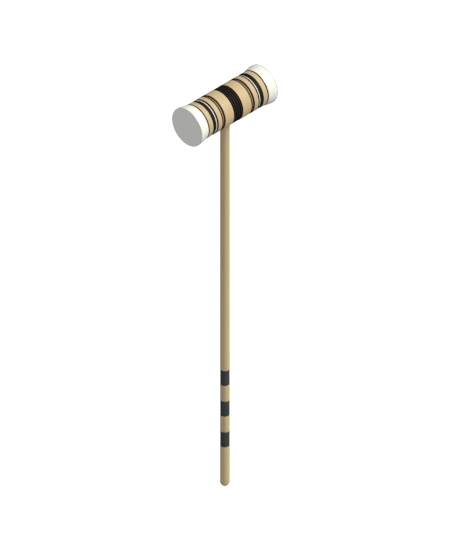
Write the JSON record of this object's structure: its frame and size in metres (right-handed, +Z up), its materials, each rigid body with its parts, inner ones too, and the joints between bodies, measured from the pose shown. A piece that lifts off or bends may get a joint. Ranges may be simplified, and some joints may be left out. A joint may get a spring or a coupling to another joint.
{
  "type": "croquet mallet",
  "caption": "Garden croquet mallet: turned wooden head with flared white striking caps and black, brown and white bands, on a long round handle that screws into it.",
  "frame": {"origin": "the rounded free end of the handle, on the handle's axis", "axes": "+Z up along the handle to the head, +X along the head's axis towards the right striking face, +Y across both"},
  "size_m": [0.203, 0.0804, 0.9177],
  "materials": {
    "head_wood": "satin varnish",
    "handle_wood": "satin varnish",
    "cap_white": "satin moulded",
    "band_black": "satin",
    "line_white": "enamel paint",
    "line_dark": "enamel paint",
    "line_brown": "burnt in",
    "handle_band": "matte",
    "zinc_steel": "zinc plated",
    "brass_insert": "as turned"
  },
  "bodies": {
    "handle": {"handle_shaft": "handle_wood", "lower_handle_band": "handle_band", "middle_handle_band": "handle_band", "upper_handle_band": "handle_band", "screw_stud": "zinc_steel"},
    "washer": {"shoulder_washer": "zinc_steel"},
    "head": {"head_barrel": "head_wood", "left_cap": "cap_white", "right_cap": "cap_white", "centre_band": "band_black", "left_black_band": "band_black", "right_black_band": "band_black", "left_white_line": "line_white", "right_white_line": "line_white", "left_dark_line": "line_dark", "right_dark_line": "line_dark", "left_brown_lines": "line_brown", "right_brown_lines": "line_brown", "threaded_insert": "brass_insert"}
  },
  "joints": [
    {"name": "head_lift", "type": "slide", "parent": "handle", "child": "washer", "axis": [0, 0, 1], "range_m": [0, 0.0188]},
    {"name": "head_unscrew", "type": "hinge", "parent": "washer", "child": "head", "pos_m": [0, 0, 0.8633], "axis": [0, 0, 1], "range_deg": [0, 4230]}
  ],
  "couplings": [
    {"joint": "head_lift", "follows": "head_unscrew", "m_per_rad": 0.00025266}
  ]
}
